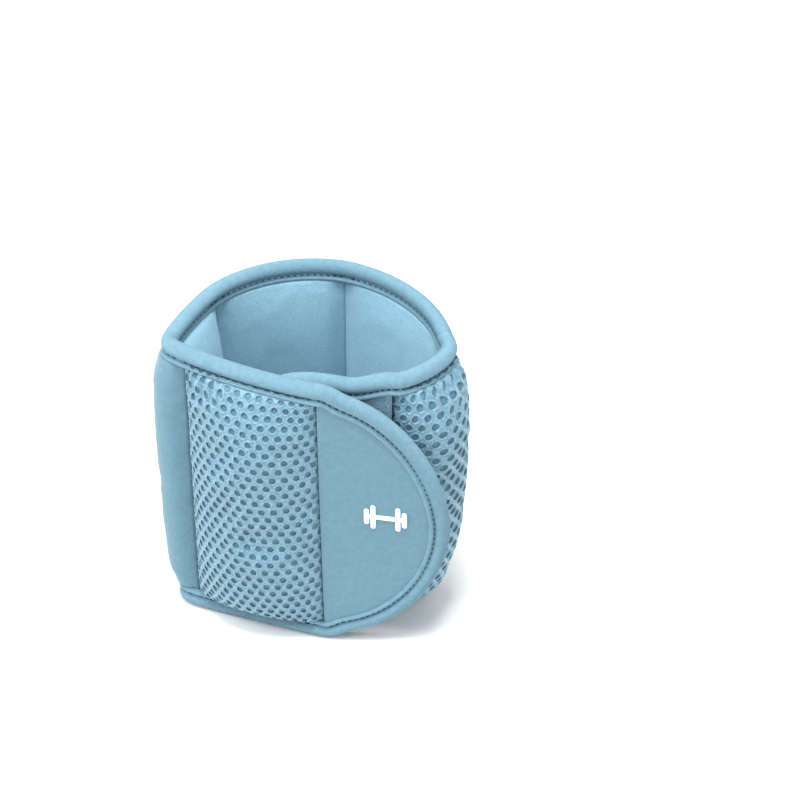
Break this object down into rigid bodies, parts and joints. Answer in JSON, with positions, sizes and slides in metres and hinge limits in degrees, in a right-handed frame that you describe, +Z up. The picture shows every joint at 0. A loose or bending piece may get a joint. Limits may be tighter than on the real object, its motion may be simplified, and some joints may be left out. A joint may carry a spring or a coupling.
{
  "type": "ankle cuff weight",
  "caption": "Padded ankle cuff weight: a bound strip of sewn iron-sand pockets that wraps round the ankle and closes with a hook-backed tab.",
  "frame": {"origin": "centre of the wrapped cuff's box, on the surface it stands on", "axes": "+Z up along the ankle, -Y towards the front pocket, +X towards the tip of the outer tab"},
  "size_m": [0.1108, 0.0864, 0.115],
  "materials": {
    "neoprene": "matt jersey-faced neoprene, dusty light blue",
    "lining_neoprene": "matt brushed neoprene, dusty light blue",
    "air_mesh": "spacer mesh with round holes, dusty light blue",
    "mesh_backing": "flat backing cloth seen through the mesh",
    "binding": "finely ribbed knit binding, dusty light blue",
    "thread": "sewing thread, darker blue",
    "loop_pile": "short brushed loop pile",
    "hook_tape": "nylon hook tape",
    "print": "white transfer print",
    "bag_film": "woven plastic film of the sand bags",
    "iron_sand": "dark iron sand"
  },
  "bodies": {
    "inner_tab": {"inner_tab_binding": "binding", "inner_tab_binding_stitches": "thread", "inner_tab_cover": "neoprene", "inner_tab_lining": "lining_neoprene", "inner_tab_loop_patch": "loop_pile"},
    "right": {"right_binding_bottom": "binding", "right_binding_stitches": "thread", "right_binding_top": "binding", "right_iron_sand": "iron_sand", "right_lining": "lining_neoprene", "right_mesh_backing": "mesh_backing", "right_mesh_face": "air_mesh", "right_sand_bag": "bag_film", "right_seam_thread": "thread"},
    "rear_right": {"rear_right_binding_bottom": "binding", "rear_right_binding_stitches": "thread", "rear_right_binding_top": "binding", "rear_right_cover": "neoprene", "rear_right_iron_sand": "iron_sand", "rear_right_lining": "lining_neoprene", "rear_right_sand_bag": "bag_film", "rear_right_seam_thread": "thread"},
    "rear": {"rear_binding_bottom": "binding", "rear_binding_stitches": "thread", "rear_binding_top": "binding", "rear_iron_sand": "iron_sand", "rear_lining": "lining_neoprene", "rear_mesh_backing": "mesh_backing", "rear_mesh_face": "air_mesh", "rear_sand_bag": "bag_film", "rear_seam_thread": "thread"},
    "left": {"left_binding_bottom": "binding", "left_binding_stitches": "thread", "left_binding_top": "binding", "left_cover": "neoprene", "left_iron_sand": "iron_sand", "left_lining": "lining_neoprene", "left_sand_bag": "bag_film", "left_seam_thread": "thread"},
    "front": {"front_binding_bottom": "binding", "front_binding_stitches": "thread", "front_binding_top": "binding", "front_end_seam_thread": "thread", "front_iron_sand": "iron_sand", "front_lining": "lining_neoprene", "front_mesh_backing": "mesh_backing", "front_mesh_face": "air_mesh", "front_sand_bag": "bag_film", "front_seam_thread": "thread"},
    "outer_tab": {"outer_tab_binding": "binding", "outer_tab_binding_stitches": "thread", "outer_tab_cover": "neoprene", "outer_tab_emblem": "print", "outer_tab_hook_patch": "hook_tape", "outer_tab_lining": "lining_neoprene"}
  },
  "joints": [
    {"name": "unwrap", "type": "hinge", "parent": "rear", "child": "left", "pos_m": [-0.03232, 0.02005, 0.0575], "axis": [0, 0, -1], "range_deg": [0, 60.05]},
    {"name": "left_front_seam", "type": "hinge", "parent": "left", "child": "front", "pos_m": [-0.03982, -0.01495, 0.0575], "axis": [0, 0, -1], "range_deg": [0, 76.43]},
    {"name": "outer_tab_peel", "type": "hinge", "parent": "front", "child": "outer_tab", "pos_m": [0.00468, -0.03635, 0.0575], "axis": [0, 0, -1], "range_deg": [0, 21.7]},
    {"name": "rear_right_seam", "type": "hinge", "parent": "rear", "child": "rear_right", "pos_m": [0.01268, 0.03455, 0.0575], "axis": [0, 0, 1], "range_deg": [0, 68.21]},
    {"name": "right_seam", "type": "hinge", "parent": "rear_right", "child": "right", "pos_m": [0.04668, -0.00645, 0.0575], "axis": [0, 0, 1], "range_deg": [0, 75.25]},
    {"name": "inner_tab_seam", "type": "hinge", "parent": "right", "child": "inner_tab", "pos_m": [0.02945, -0.03055, 0.0575], "axis": [0, 0, 1], "range_deg": [0, 81.22]}
  ],
  "couplings": [
    {"joint": "left_front_seam", "follows": "unwrap", "ratio": 1.2726},
    {"joint": "rear_right_seam", "follows": "unwrap", "ratio": 1.1357},
    {"joint": "right_seam", "follows": "unwrap", "ratio": 1.2529},
    {"joint": "inner_tab_seam", "follows": "unwrap", "ratio": 1.3523}
  ]
}
